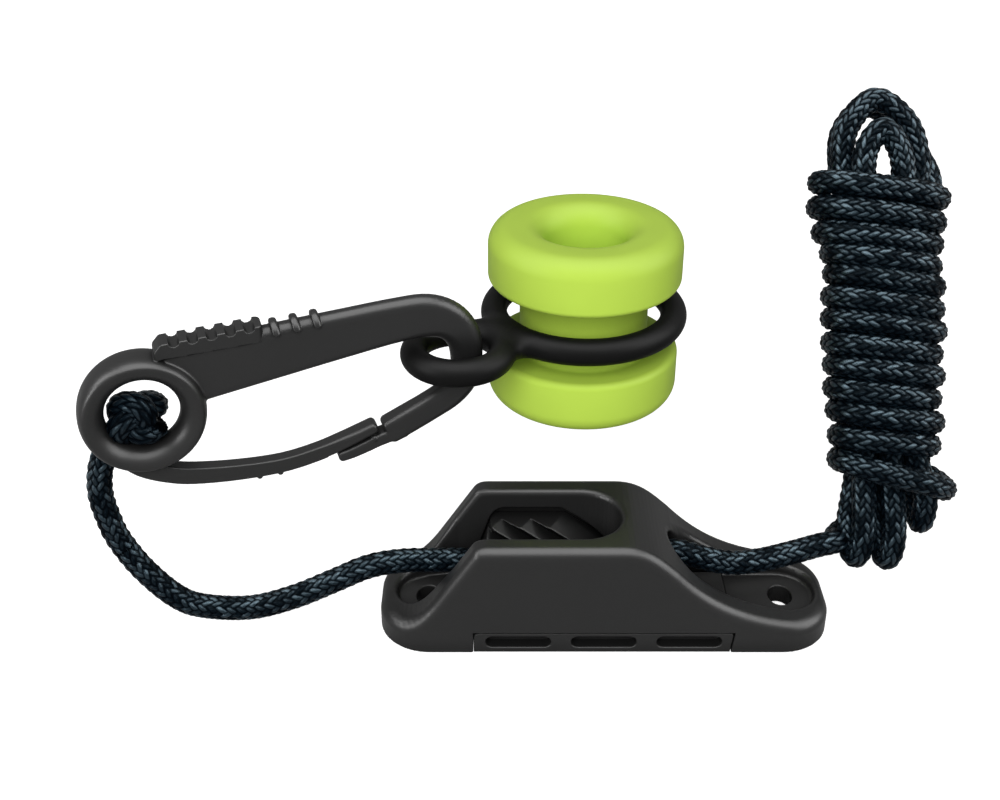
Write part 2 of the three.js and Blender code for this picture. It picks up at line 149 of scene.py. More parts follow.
def ride_for(piece, body, *nodes):
    """Let a piece ride on a body and stand for CAD nodes."""
    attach(piece, body)
    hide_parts(*nodes)


def slopes(field, points, step=0.02):
    """The field's gradient at each point."""
    columns = []
    for axis in range(3):
        ahead = points.copy()
        behind = points.copy()
        ahead[:, axis] += step
        behind[:, axis] -= step
        columns.append((field(*ahead.T) - field(*behind.T)) / (2 * step))
    return np.stack(columns, axis=1)


def crossed_cells(inside):
    """The grid cells that the surface passes through, as a mask."""
    count = np.zeros([n - 1 for n in inside.shape], np.int8)
    nx, ny, nz = count.shape
    for i in (0, 1):
        for j in (0, 1):
            for k in (0, 1):
                count += inside[i:nx + i, j:ny + j, k:nz + k]
    return (count > 0) & (count < 8)


def settle(field, middles, cell):
    """Move each cell's middle onto the surface, without letting it leave its cell by much."""
    reach = 0.75 * cell
    flattest = 0.05
    points = middles.copy()
    for _ in range(3):
        slope = slopes(field, points)
        length = np.maximum((slope ** 2).sum(1), flattest)
        points -= (field(*points.T) / length)[:, None] * slope
        points = np.clip(points, middles - reach, middles + reach)
    return points


def join_cells(inside, index):
    """A quad round every grid edge that crosses the surface, facing outward."""
    quads = []
    for axis in range(3):
        order = (axis, (axis + 1) % 3, (axis + 2) % 3)
        side = np.transpose(inside, order)
        cells = np.transpose(index, order)
        change = side[:-1, 1:-1, 1:-1].astype(np.int8) - side[1:, 1:-1, 1:-1]
        i, j, k = np.nonzero(change)
        ring = [cells[i, j, k], cells[i, j + 1, k], cells[i, j + 1, k + 1], cells[i, j, k + 1]]
        ring = np.stack(ring, axis=1)
        leaving = change[i, j, k] > 0
        quads.append(np.where(leaving[:, None], ring, ring[:, ::-1]))
    return np.concatenate(quads).tolist()


def skin(field, low, high, cell):
    """Points, quads and normals on the zero surface of a distance field."""
    counts = [int(math.ceil((b - a) / cell)) + 1 for a, b in zip(low, high)]
    x, y, z = [a + cell * np.arange(n) for a, n in zip(low, counts)]
    values = field(x[:, None, None], y[None, :, None], z[None, None, :])
    inside = np.broadcast_to(values, counts) < 0
    crossed = crossed_cells(inside)
    index = np.full(crossed.shape, -1)
    index[crossed] = np.arange(crossed.sum())
    points = settle(field, np.array(low) + cell * (np.argwhere(crossed) + 0.5), cell)
    normals = slopes(field, points)
    normals /= np.maximum(np.linalg.norm(normals, axis=1, keepdims=True), 1e-6)
    return points, join_cells(inside, index), normals


# ---- distance fields: negative inside; the last number given is the radius of the round ----
def both(a, b, radius):
    """Where two shapes overlap, with the shared edge rounded."""
    corner = np.hypot(np.maximum(a + radius, 0), np.maximum(b + radius, 0))
    return np.minimum(np.maximum(a, b), -radius) + corner


def either(a, b, radius):
    """Two shapes joined, with a fillet where they meet."""
    return -both(-a, -b, radius)


def cut(a, b, radius):
    """The first shape without the second, with the rim rounded."""
    return both(a, -b, radius)


def ball(x, y, z, radius):
    return np.sqrt(x ** 2 + y ** 2 + z ** 2) - radius


def outline(points, x, y):
    """Distance to a closed outline."""
    best = np.full(np.broadcast(x, y).shape, FAR)
    inside = np.zeros(best.shape, bool)
    for (x0, y0), (x1, y1) in zip(points, points[1:] + points[:1]):
        dx, dy = x1 - x0, y1 - y0
        share = np.clip(((x - x0) * dx + (y - y0) * dy) / (dx * dx + dy * dy + 1e-12), 0, 1)
        best = np.minimum(best, (x - x0 - share * dx) ** 2 + (y - y0 - share * dy) ** 2)
        if dy != 0:
            inside = inside ^ (((y0 <= y) != (y1 <= y)) & (x < x0 + (y - y0) / dy * dx))
    return np.where(inside, -1.0, 1.0) * np.sqrt(best)


def rounded_box(u, v, half_u, half_v, corner):
    du = np.abs(u) - half_u + corner
    dv = np.abs(v) - half_v + corner
    outside = np.hypot(np.maximum(du, 0), np.maximum(dv, 0))
    return outside + np.minimum(np.maximum(du, dv), 0) - corner


# ---- curves ----
def bezier(points, count):
    """Points along a quadratic or cubic curve, without its first point."""
    found = []
    for i in range(1, count + 1):
        level = [np.array(p, float) for p in points]
        while len(level) > 1:
            level = [a + (b - a) * (i / count) for a, b in zip(level, level[1:])]
        found.append((float(level[0][0]), float(level[0][1])))
    return found


def arc(x, y, radius, start, end, count):
    """Points along an arc, from one angle to another in degrees."""
    turns = [math.radians(start + (end - start) * i / count) for i in range(count + 1)]
    return [(x + radius * math.cos(turn), y + radius * math.sin(turn)) for turn in turns]


def taper_slot(x0, r0, x1, r1, steps=14):
    """Outline of two circles on the X axis and the lines that join them."""
    lean = math.degrees(math.asin((r1 - r0) / (x1 - x0)))
    right = arc(x1, 0, r1, -90 - lean, 90 + lean, steps)
    return right + arc(x0, 0, r0, 90 + lean, 270 - lean, steps)


def spline(points, per_span=16):
    """A smooth curve through the points, whatever they hold."""
    p = np.array(points, float)
    p = np.vstack([2 * p[0] - p[1], p, 2 * p[-1] - p[-2]])
    t = np.linspace(0, 1, per_span, endpoint=False)[:, None]
    spans = []
    for a, b, c, d in zip(p, p[1:], p[2:], p[3:]):
        bend = 2 * a - 5 * b + 4 * c - d + t * (3 * (b - c) + d - a)
        spans.append(b + 0.5 * t * (c - a + t * bend))
    return np.vstack(spans + [p[-2:-1]])


# ---- cleat housing ----
# The top surface seen from the side, closed well past the housing's ends and base.
CROWN = (
    [(-60.0, -20.0), (-60.0, PAD_HEIGHT), (-43.0, PAD_HEIGHT)]
    + bezier([(-43, PAD_HEIGHT), (-38.9, PAD_HEIGHT), (-34.6, 13.1)], 8)
    + [(-27.6, 23.7)]
    + bezier([(-27.6, 23.7), (-26.7, CROWN_HEIGHT), (-24.6, CROWN_HEIGHT)], 6)
    + [(2.2, CROWN_HEIGHT)]
    + bezier([(2.2, CROWN_HEIGHT), (7.6, CROWN_HEIGHT), (10.3, 22), (13.6, 19)], 12)
    + bezier([(13.6, 19), (18, 14.4), (26, PAD_HEIGHT + 0.4), (42, PAD_HEIGHT + 0.1)], 14)
    + [(60.0, PAD_HEIGHT), (60.0, -20.0)]
)
# The room behind the mouth's walls that holds the jaws, seen from the side.
CHAMBER = (
    [(-29.2, 3.0), (-24.2, 18.2)]
    + bezier([(-24.2, 18.2), (-23.3, CHAMBER_TOP), (-20.4, CHAMBER_TOP)], 6)
    + [(-10.2, CHAMBER_TOP)]
    + bezier([(-10.2, CHAMBER_TOP), (-8.9, CHAMBER_TOP), (-8.0, 20.2)], 3)
    + [(4.0, 11.9), (8.0, 10.4), (8.0, 3.0)]
)
# The mouth, the screw's seat and the pocket where the cord leaves, seen from above.
MOUTH = (
    [(-SCREW_X, -SEAT_RADIUS), (-31.0, -MOUTH_HALF_WIDTH)]
    + arc(MOUTH_ROUND_X, 0, MOUTH_HALF_WIDTH, -90, 90, 24)
    + [(-31.0, MOUTH_HALF_WIDTH), (-SCREW_X, SEAT_RADIUS)]
)
SEAT = taper_slot(-SCREW_X, SEAT_RADIUS, -33, SEAT_RADIUS)
POCKET = taper_slot(20.0, 7.0, 36.6, 7.3)
RAIL_NOTCH = [(-27.45, -9.0), (-27.45, 4.95), (25.7, 4.95), (24.0, -9.0)]


def housing_field(x, y, z):
    """The moulded block, less its mouth, pocket, bore, jaw chamber, screw holes and rail notch."""
    middle_x = x - HOUSING_MIDDLE_X
    plan = rounded_box(middle_x, y, HOUSING_HALF_LENGTH, HOUSING_HALF_WIDTH, HOUSING_CORNER)
    body = both(plan, outline(CROWN, x, z), TOP_EDGE_ROUND)
    body = both(body, -z, 0.2)
    above_seat = SEAT_HEIGHT - z
    mouth = either(outline(MOUTH, x, y), outline(SEAT, x, y), 1.5)
    for opening in (mouth, outline(POCKET, x, y)):
        body = cut(body, both(opening, above_seat, FLOOR_ROUND), RIM_ROUND)
    bore = np.hypot(y, z - BORE_HEIGHT) - BORE_RADIUS
    body = cut(body, np.maximum(bore, np.abs(x - BORE_MIDDLE_X) - BORE_HALF_LENGTH), 0.5)
    chamber = both(outline(CHAMBER, x, z), np.abs(y) - CHAMBER_HALF_WIDTH, 0.3)
    body = cut(body, chamber, 0.2)
    for side in (-1, 1):
        hole = np.hypot((x - side * SCREW_X) / SCREW_HALF_X, (y - SCREW_Y) / SCREW_HALF_Y)
        body = cut(body, (hole - 1) * SCREW_HALF_X, 0.25)
    return cut(body, outline(RAIL_NOTCH, x, z), 0.25)


def build_housing(materials):
    low = (-48, -15, -1.2)
    high = (47.5, 15, 26.3)
    points, quads, normals = skin(housing_field, low, high, SOFT_CELL)
    shell = make_piece("housing_shell", points, quads, materials["nylon"], normals)
    ride_for(shell, "cleat", "cleat_housing")


# ---- jaw insert ----
RAIL = [
    (-27.37, 0.0), (-27.37, 3.9), (-27.1, 4.5), (-26.4, 4.75), (24.9, 4.75), (25.45, 4.3),
    (24.95, 0.0),
]
CHEEK = [
    (-28.7, 3.5), (-24.0, 18.0), (-23.2, JAW_TOP), (-8.4, JAW_TOP), (1.9, 11.4), (6.2, 10.4),
    (6.2, 3.5),
]


def tooth(turns):
    """Depth of the sawtooth behind its tips: a long flank, then a short one; the last has no end."""
    last = turns > 1 + TOOTH_TIP
    phase = np.where(last, turns - 1, np.mod(turns, 1))
    long_flank = np.maximum(1 - phase / TOOTH_TIP, 0) ** 1.15
    short_flank = np.maximum(phase - TOOTH_TIP, 0) / (1 - TOOTH_TIP)
    depth = TOOTH_DEPTH * (long_flank + short_flank * np.where(last, 1.15, 1))
    tip_round = 0.05
    tip_drop = 0.22
    return np.sqrt(depth ** 2 + tip_round) - tip_drop


def rail_field(x, side, z):
    """The slotted base rail, and the foot that shows in the pocket's floor."""
    rail = both(outline(RAIL, x, z), side - RAIL_HALF_WIDTH, 0.3)
    for middle in RAIL_SLOTS_X:
        along = x - middle
        up = z - RAIL_SLOT_HEIGHT
        slot = rounded_box(along, up, RAIL_SLOT_HALF_LENGTH, RAIL_SLOT_HALF_HEIGHT, 1.3)
        rail = cut(rail, both(slot, RAIL_SLOT_FLOOR - side, 0.4), 0.35)
    foot = rounded_box(x - FOOT_MIDDLE_X, side, FOOT_HALF_LENGTH, FOOT_HALF_WIDTH, 0.8)
    foot = both(foot, z - FOOT_TOP, 0.4)
    inside_rail = 4 - z
    return np.minimum(rail, np.maximum(foot, inside_rail))


def cheek_field(x, side, z):
    """A cheek whose teeth lean away from the cord as they rise and rake down to the hank side."""
    turns = (x - FIRST_ROOT_X + (z - JAW_TOP) * TOOTH_RAKE) / TOOTH_PITCH
    face = JAW_FACE + (z - CORD_HEIGHT) * JAW_LEAN + tooth(turns)
    steepness = 0.45
    cheek = both((face - side) * steepness, side - JAW_BACK, 0.1)
    front_x = -24.0 - 0.33 * (JAW_TOP - z)
    cheek = both(cheek, (front_x - x) * 0.95, 1.2)
    return both(cheek, outline(CHEEK, x, z), 0.12)


def insert_field(x, y, z):
    side = np.abs(y)
    return np.minimum(rail_field(x, side, z), cheek_field(x, side, z))


def build_insert(materials):
    low = (-30.4, -15, -1.1)
    high = (26.6, 15, 19.6)
    points, quads, normals = skin(insert_field, low, high, TOOTH_CELL)
    nylon = materials["nylon"]
    insert = make_piece("jaw_insert_skin", points, quads, nylon, normals)
    ride_for(insert, "cleat", "jaw_insert")


# ---- snap hook, in its own plane: p along the spine, q up, w across ----
def hook_to_world(points):
    """Points given as p, q and w, in the frame's axes."""
    p, q, w = np.asarray(points).T
    x = EYE[0] + p * math.cos(HOOK_YAW) - w * math.sin(HOOK_YAW)
    y = EYE[1] + p * math.sin(HOOK_YAW) + w * math.cos(HOOK_YAW)
    return np.stack([x, y, EYE[2] + q], axis=1)


def bar(stations, p, q, w, per_span=5):
    """Distance to a rounded bar along stations of p, q, thickness, depth and corner radius."""
    curve = spline(stations, per_span)
    shape = np.broadcast(p, q).shape
    best = np.full(shape, FAR)
    beside = np.zeros(shape)
    deep = np.zeros(shape)
    corner = np.zeros(shape)
    past = np.full(shape, -10.0)
    last = len(curve) - 2
    for n, (a, b) in enumerate(zip(curve, curve[1:])):
        dp, dq = b[0] - a[0], b[1] - a[1]
        length = math.hypot(dp, dq)
        share = ((p - a[0]) * dp + (q - a[1]) * dq) / length ** 2
        held = np.clip(share, 0, 1)
        _, _, thickness, depth, round_here = [a[k] + held * (b[k] - a[k]) for k in range(5)]
        away = (p - a[0] - held * dp) ** 2 + (q - a[1] - held * dq) ** 2
        from_line = np.abs((p - a[0]) * dq - (q - a[1]) * dp) / length
        over = np.full(shape, -10.0)
        off_end = np.zeros(shape, bool)
        if n == 0:
            over = np.maximum(over, -np.minimum(share, 1) * length)
            off_end = off_end | (share < 0)
        if n == last:
            over = np.maximum(over, (share - 1) * length)
            off_end = off_end | (share > 1)
        closer = away < best
        best = np.where(closer, away, best)
        apart = np.where(off_end, from_line, np.sqrt(away))
        beside = np.where(closer, apart - 0.5 * thickness, beside)
        deep = np.where(closer, 0.5 * depth, deep)
        corner = np.where(closer, round_here, corner)
        past = np.where(closer, over, past)
    sides = [beside + corner, np.abs(w) - deep + corner, past + corner]
    outside = np.sqrt(sum(np.maximum(side, 0) ** 2 for side in sides))
    within = np.maximum(np.maximum(sides[0], sides[1]), sides[2])
    return outside + np.minimum(within, 0) - corner


SPINE = [
    (5, 5.8, 12.9, 4.2, 1.8), (9.6, 6.4, 12.5, 4.2, 1.9), (24, 8.3, 11.2, 4.2, 1.9),
    (38, 10.1, 9.9, 4.2, 1.9), (49, 11.4, 9.0, 4.3, 2.0), (55, 11.5, 8.7, 4.5, 2.1),
    (59.3, 9.9, 7.7, 4.9, 2.3), (62, 6.5, 7.0, 5.1, 2.4), (62.8, 2, 6.4, 5.1, 2.4),
    (62.2, -2.7, 6.0, 4.8, 2.2), (59.4, -6, 5.8, 4.5, 1.7), (54.8, -8.6, 5.5, 4.4, 1.4),
    (50, -10.9, 5.4, 4.4, 1.2), (45.9, -12.8, 5.2, 4.4, 1.0),
]
TONGUE = [
    (50, -12.4, 2.8, 4.2, 0.8), (44.6, -13.8, 2.7, 4, 0.7), (41.5, -14.9, 2.6, 4, 0.7),
    (38.5, -15.9, 2.4, 4, 0.7), (35.9, -16.5, 2.2, 4, 0.8),
]
GATE = [
    (-5.2, -9.2, 3.0, 3.4, 0.6), (-1.5, -12.3, 3.4, 3.4, 0.5), (3.2, -14.4, 3.6, 3.2, 0.4),
    (8, -15.6, 3.6, 3.1, 0.35), (16.4, -16.4, 3.4, 3.0, 0.35), (25, -16.35, 3.1, 3.0, 0.35),
    (32, -15.1, 3.0, 3.0, 0.4), (37, -13.5, 2.8, 3.6, 0.8), (40.5, -12.2, 2.5, 3.95, 0.9),
    (44.1, -10.8, 2.3, 3.95, 0.9),
]
# The line along which the gate's tip parts from the tongue, closed well below both.
PARTING = [(34, -15.9), (41.5, -13.3), (44.6, -11.7), (47, -9.5), (50, -20), (34, -22)]
CATCH = (43.3, -13.3)
BEAD_OFFSET = 1.4
BEAD_RADIUS = 0.75
CATCH_ROOM = 0.2
NOSE_STEP = (58.0, -9.0)
NUB_HALF_LENGTH = 0.9
NUB_RADIUS = 0.6


def eye_field(p, q, w):
    """A ring with a full round section that is deeper on its outside than round its bore."""
    radius = np.hypot(p + 0.1, q + 0.25)
    half_depth = np.clip(3.9 + 0.5 * (radius - 9.5), 2, 6)
    half_bar = 2.45
    fullness = 2.4
    steepness = 2.6
    across = np.abs((radius - EYE_RADIUS) / half_bar) ** fullness
    deep = np.abs(w / half_depth) ** fullness
    return ((across + deep) ** (1 / fullness) - 1) * steepness


def grip_field(p, q, w):
    """A block along the top of the spine beside the eye, with five notches across it."""
    start = 3.3
    end = 23.3
    half_width = 2.45
    first_notch = 7.1
    notch_radius = 0.98
    low = 10.85 + 0.05 * (p - 3.4)
    top = 13.95 + 0.062 * (p - 5)
    block = both(both(p - end, np.abs(w) - half_width, 1.2), start - p, 0.25)
    block = both(block, q - top, 0.3)
    block = np.maximum(block, low - q)
    for i in range(NOTCHES):
        centre = first_notch + i * NOTCH_PITCH
        height = 14.0 + 0.06 * (centre - 5)
        block = cut(block, np.hypot(p - centre, q - height) - notch_radius, 0.1)
    chamfer = (p - 3.5) * 0.75 - (q - 12.6) * 0.66
    return cut(block, chamfer, 0.3)


def hook_field(p, q, w):
    """The spine and nose, with ribs, eye, grip, tongue and the two beads that hold the gate."""
    spine = bar(SPINE, p, q, w)
    spine_start = EYE_RADIUS - 0.1
    body = cut(spine, np.hypot(p, q) - spine_start, 0.3)
    for centre in RIBS_P:
        from_rib = np.abs(p - centre + 0.16 * (q - 14))
        rib = both(spine - RIB_HEIGHT, from_rib - RIB_HALF_WIDTH, 0.6)
        rib_low = 12.6 + 0.08 * (centre - RIBS_P[0])
        body = either(body, both(rib, rib_low - q, 0.5), 0.15)
    body = either(body, eye_field(p, q, w), 0.5)
    body = either(body, grip_field(p, q, w), 0.2)
    body = either(body, bar(TONGUE, p, q, w), 0.3)
    beads = ball(p - CATCH[0], q - CATCH[1], np.abs(w) - BEAD_OFFSET, BEAD_RADIUS)
    body = either(body, beads, 0.2)
    step = ball(p - NOSE_STEP[0], q - NOSE_STEP[1], w * 0.4, 0.6)
    return either(body, step, 0.3)


def gate_field(p, q, w):
    """The springy leaf, with room for the beads at its tip and two nubs under it."""
    leaf = bar(GATE, p, q, w)
    leaf = cut(leaf, np.hypot(p - CATCH[0], q - CATCH[1]) - BEAD_RADIUS - CATCH_ROOM, 0.1)
    leaf = cut(leaf, outline(PARTING, p, q), 0.2)
    for along, up in GATE_NUBS:
        past_end = np.maximum(np.abs(w) - NUB_HALF_LENGTH, 0)
        nub = ball(p - along, q - up, past_end, NUB_RADIUS)
        leaf = either(leaf, nub, 0.15)
    return leaf


def hook_piece(name, field, low, high, materials):
    """A skin in the hook's plane, turned into the frame; that turn mirrors it, so quads flip."""
    points, quads, normals = skin(field, low, high, HOOK_CELL)
    flipped = [quad[::-1] for quad in quads]
    turned = hook_to_world(normals) - hook_to_world([[0, 0, 0]])
    nylon = materials["nylon"]
    return make_piece(name, hook_to_world(points), flipped, nylon, turned)


def build_hook(materials):
    low = (-13.2, -20.0, -5.3)
    high = (66.4, 17.5, 5.3)
    body = hook_piece("hook_body", hook_field, low, high, materials)
    ride_for(body, "hook", "snap_hook_body")


def build_gate(materials):
    low = (-11.5, -20.0, -3.2)
    high = (45.6, -4.5, 3.2)
    leaf = hook_piece("hook_gate_leaf", gate_field, low, high, materials)
    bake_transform(leaf)
    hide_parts("snap_hook_gate")


# ---- rubber pieces ----
def ring_field(x, y, z):
    """Two round loops of one tube, run together where they touch."""
    small, large = [
        np.hypot(np.hypot(x - cx, y - cy) - radius, z - RING_HEIGHT) - RING_TUBE
        for cx, cy, radius in (SMALL_LOOP, LARGE_LOOP)
    ]
    return either(small, large, RING_FILLET)


def build_ring(materials):
    low = (-43, -3.6, 53.9)
    high = (18.2, 50.9, 60.5)
    points, quads, normals = skin(ring_field, low, high, SOFT_CELL)
    ring = make_piece("twin_ring", points, quads, materials["rubber"], normals)
    ride_for(ring, "ring", "double_ring")


def bobbin_profile():
    """Half of the bobbin's outline as radius and height, from the groove up and into the bore."""
    neck = 13.4
    groove = 7.4
    neck_round = 1.2
    groove_round = 1.4
    rim_round = 4.2
    mouth_radius = 8.4
    mouth_round = 4.6
    rim = BOBBIN_RADIUS - rim_round
    lip = mouth_radius + mouth_round
    half = [(neck, 0.0)]
    half += arc(neck + neck_round, groove - neck_round, neck_round, 180, 90, 6)
    half += arc(BOBBIN_RADIUS - groove_round, groove + groove_round, groove_round, -90, 0, 8)
    half += arc(rim, BOBBIN_HALF_HEIGHT - rim_round, rim_round, 0, 90, 14)
    half += arc(lip, BOBBIN_HALF_HEIGHT - mouth_round, mouth_round, 90, 180, 12)
    return half + [(8.35, 6.0), (8.3, 0.0)]


def build_bobbin(materials):
    half = bobbin_profile()
    ring = half + [(r, -h) for r, h in half[::-1][1:-1]]
    count = len(ring)
    sides = 144
    points = []
    faces = []
    for s in range(sides):
        turn = 2 * math.pi * s / sides
        t = (s + 1) % sides
        for i, (r, h) in enumerate(ring):
            j = (i + 1) % count
            points.append(BOBBIN + (r * math.cos(turn), r * math.sin(turn), h))
            faces.append((s * count + i, t * count + i, t * count + j, s * count + j))
    bobbin = make_piece("bobbin_body", points, faces, materials["lime"])
    ride_for(bobbin, "bobbin", "bobbin")


# ---- braided cord: strands laid one way are counted by u, those laid the other way by v ----
CARRIERS = 12
LAY = 2.0
# Where the mesh lines lie across one strand.
CUTS = np.array([0.0, 0.13, 0.5, 0.87])
PER_STRAND = len(CUTS)
AROUND = CARRIERS * PER_STRAND
MARGIN = 2
STITCH_WAVE = 0.24
STITCH_CROWN = 0.34


def run_of(points, step=0.4):
    """A path with even steps and a frame that doesn't twist."""
    curve = spline(points, 24)
    steps = np.linalg.norm(np.diff(curve, axis=0), axis=1)
    along = np.concatenate([[0], np.cumsum(steps)])
    s = np.arange(0, along[-1], step)
    centre = np.stack([np.interp(s, along, curve[:, k]) for k in range(3)], axis=1)
    tangent = np.gradient(centre, axis=0)
    tangent /= np.linalg.norm(tangent, axis=1, keepdims=True)
    normal = np.zeros_like(centre)
    first = np.cross(tangent[0], [0.3, 0.5, 0.8])
    normal[0] = first / np.linalg.norm(first)
    for n in range(1, len(s)):
        turned = normal[n - 1] - tangent[n] * (normal[n - 1] @ tangent[n])
        normal[n] = turned / np.linalg.norm(turned)
    return {"s": s, "centre": centre, "normal": normal, "across": np.cross(tangent, normal)}


def nearest(run, point):
    """How far along a run its closest approach to a point is."""
    return float(run["s"][np.argmin(((run["centre"] - np.array(point)) ** 2).sum(1))])


def at(run, s, key):
    """The run's centre, normal or across direction at each distance along it."""
    return np.stack([np.interp(s, run["s"], run[key][:, n]) for n in range(3)], axis=-1)


def stitches(u, v):
    """Height of the weave: each strand passes over two others, then under two."""
    i = np.floor(u + 1e-6)
    j = np.floor(v + 1e-6)

    def crown(share):
        return STITCH_CROWN * (1 - np.abs(2 * share - 1) ** 3.2)

    def wave(turn):
        return STITCH_WAVE * np.cos(0.5 * math.pi * turn)

    return np.maximum(wave(v - i) + crown(u - i), wave(u - j - 3) + crown(v - j))


def strand_steps(rows, cols):
    """Each lattice point's steps along the two lays; every second row is shifted half a step."""
    around = 2 * cols + rows % 2
    return (rows + around) // 2, (rows - around) // 2


def weave_points(run, rows, cols):
    """Points of the woven surface, straight on past the run's ends."""
    a, b = strand_steps(rows, cols)
    u = a // PER_STRAND + CUTS[a % PER_STRAND]
    v = b // PER_STRAND + CUTS[b % PER_STRAND]
    s = (u + v) * LAY / 2
    turn = (u - v) * math.pi / CARRIERS
    held = np.clip(s, run["s"][0], run["s"][-1])
    normal = at(run, held, "normal")
    across = at(run, held, "across")
    ahead = np.cross(normal, across)
    side = normal * np.cos(turn)[..., None] + across * np.sin(turn)[..., None]
    reach = CORD_RADIUS - 2 * STITCH_WAVE + stitches(u, v)
    points = at(run, held, "centre") + ahead * (s - held)[..., None] + side * reach[..., None]
    return points.reshape(-1, 3)


def point_normals(points, quads):
    """Each point's normal, from the quads that meet there."""
    diagonal = points[quads[:, 2]] - points[quads[:, 0]]
    other = points[quads[:, 3]] - points[quads[:, 1]]
    flat = np.cross(diagonal, other)
    normals = np.zeros_like(points)
    for corner in range(4):
        np.add.at(normals, quads[:, corner], flat)
    return normals / np.maximum(np.linalg.norm(normals, axis=1, keepdims=True), 1e-9)


def stitch_map(rows, cols):
    """Each quad corner's place on the stitch it shows, across and along, and each quad's tone."""
    a, b = strand_steps(rows, cols)
    strand_u = a // PER_STRAND
    strand_v = b // PER_STRAND
    order = strand_u - strand_v
    right_on_top = np.mod(order, 4) < 2
    spread = np.append(CUTS, 1.0)
    u0, u1 = spread[a % PER_STRAND], spread[a % PER_STRAND + 1]
    v0, v1 = spread[b % PER_STRAND], spread[b % PER_STRAND + 1]
    corner_u = np.stack([u0, u0, u1, u1], axis=1)
    corner_v = np.stack([v1, v0, v0, v1], axis=1)
    on_top = right_on_top[:, None]
    across = np.where(on_top, corner_u, corner_v)
    along_right = corner_v + (np.mod(order, 4) == 0)[:, None]
    along_left = corner_u + (np.mod(order, 4) == 3)[:, None]
    along = np.where(on_top, along_right, along_left)
    # A fixed scramble of the stitch's number gives it a tone of its own.
    owner = np.where(right_on_top, strand_u * 7.13, strand_v * 5.31 + 40) + order // 4 * 3.7
    tone = np.mod(np.sin(owner * 12.9898) * 43758.5453, 1)
    return np.stack([across, along], axis=-1).reshape(-1, 2), tone


def end_cap(run, first, row, closing, hub):
    """The middle point, its normal and the fan of faces that close one end of a woven length."""
    inner = row - 1 if closing else row
    loop = [r * AROUND + col for col in range(AROUND) for r in (inner, inner + 1)]
    s = np.clip((row + first) / (2 * PER_STRAND) * LAY, run["s"][0], run["s"][-1])
    end = run["s"][-1] if closing else run["s"][0]
    ahead = np.cross(at(run, end, "normal"), at(run, end, "across"))
    pairs = zip(loop, loop[1:] + loop[:1])
    fan = [[here, there, hub] if closing else [there, here, hub] for here, there in pairs]
    return at(run, s, "centre"), ahead if closing else -ahead, fan


def weave(run, start, end):
    """A closed length of braid from one distance along a run to another, as plain arrays.

    Normals are worked out over a few extra rows, so that two lengths that meet shade as one.
    """
    first = 2 * PER_STRAND * int(round(start / LAY))
    last = 2 * PER_STRAND * int(round(end / LAY))
    all_rows = np.arange(first - MARGIN, last + MARGIN + 1)
    h, c = np.meshgrid(all_rows, np.arange(AROUND), indexing="ij")
    points = weave_points(run, h, c)
    rows, cols = h[:-2].ravel(), c[:-2].ravel()
    odd = rows % 2

    def vertex(row, col):
        return (row - first + MARGIN) * AROUND + col % AROUND

    left_corner = vertex(rows + 1, cols - 1 + odd)
    right_corner = vertex(rows + 1, cols + odd)
    quads = np.stack([left_corner, vertex(rows, cols), right_corner, vertex(rows + 2, cols)], axis=1)
    normals = point_normals(points, quads)

    kept = (rows >= first) & (rows <= last - 2)
    stitch, tone = stitch_map(rows[kept], cols[kept])
    spare = MARGIN * AROUND
    faces = (quads[kept] - spare).tolist()
    points = points[spare:-spare]
    normals = normals[spare:-spare]
    for row, closing in ((0, False), (last - first, True)):
        middle, direction, fan = end_cap(run, first, row, closing, len(points))
        points = np.vstack([points, middle])
        normals = np.vstack([normals, direction])
        faces += fan
    return points, faces, normals, stitch, tone


def braid(name, lengths, material):
    """One piece of cord made of one or more closed lengths of braid."""
    points, faces, normals, stitch, tone = [], [], [], [], []
    count = 0
    for some_points, some_faces, some_normals, some_stitch, some_tone in lengths:
        points.append(some_points)
        normals.append(some_normals)
        faces += [[i + count for i in face] for face in some_faces]
        caps = len(some_faces) - len(some_tone)
        stitch += [some_stitch, np.zeros((3 * caps, 2))]
        tone += [some_tone, np.full(caps, 0.5)]
        count += len(some_points)
    all_normals = np.vstack(normals)
    piece = make_piece(name, np.vstack(points), faces, material, all_normals)
    layer = piece.data.uv_layers.new(name="Stitch")
    layer.data.foreach_set("uv", np.vstack(stitch).astype(np.float32).ravel())
    shade = piece.data.attributes.new("Tone", "FLOAT", "FACE")
    shade.data.foreach_set("value", np.concatenate(tone).astype(np.float32))
    return piece


# ---- paths of the cord ----
def hank_point(across, along, behind):
    """A place in the leaning hank, measured from its foot."""
    up = np.array([0, math.sin(HANK_LEAN), math.cos(HANK_LEAN)])
    back = np.array([0, math.cos(HANK_LEAN), -math.sin(HANK_LEAN)])
    return HANK_FOOT + np.array([across, 0, 0]) + up * along + back * behind


def knot_path():
    """A trefoil in the eye, between the strand that comes up to it and its short tail."""
    steps = 22
    size = 1.28
    squash = 0.92
    thickness = 1.7
    start_turn = -0.15
    path = [(-3.0, -6.2, 8.4), (0.2, -3.0, 7.4), (2.4, -1.8, 4.4)]
    for i in range(1, steps):
        turn = 2 * math.pi * i / steps
        spin = 2 * turn + start_turn
        reach = size * (2 + math.cos(3 * turn))
        along = reach * math.cos(spin) - 1.4
        up = squash * reach * math.sin(spin) - 2.0
        path.append((along, up, thickness * math.sin(3 * turn) + 0.6))
    path += [(2.9, -2.4, -0.9), (4.4, -2.7, -1.3)]
    return list(hook_to_world(path))


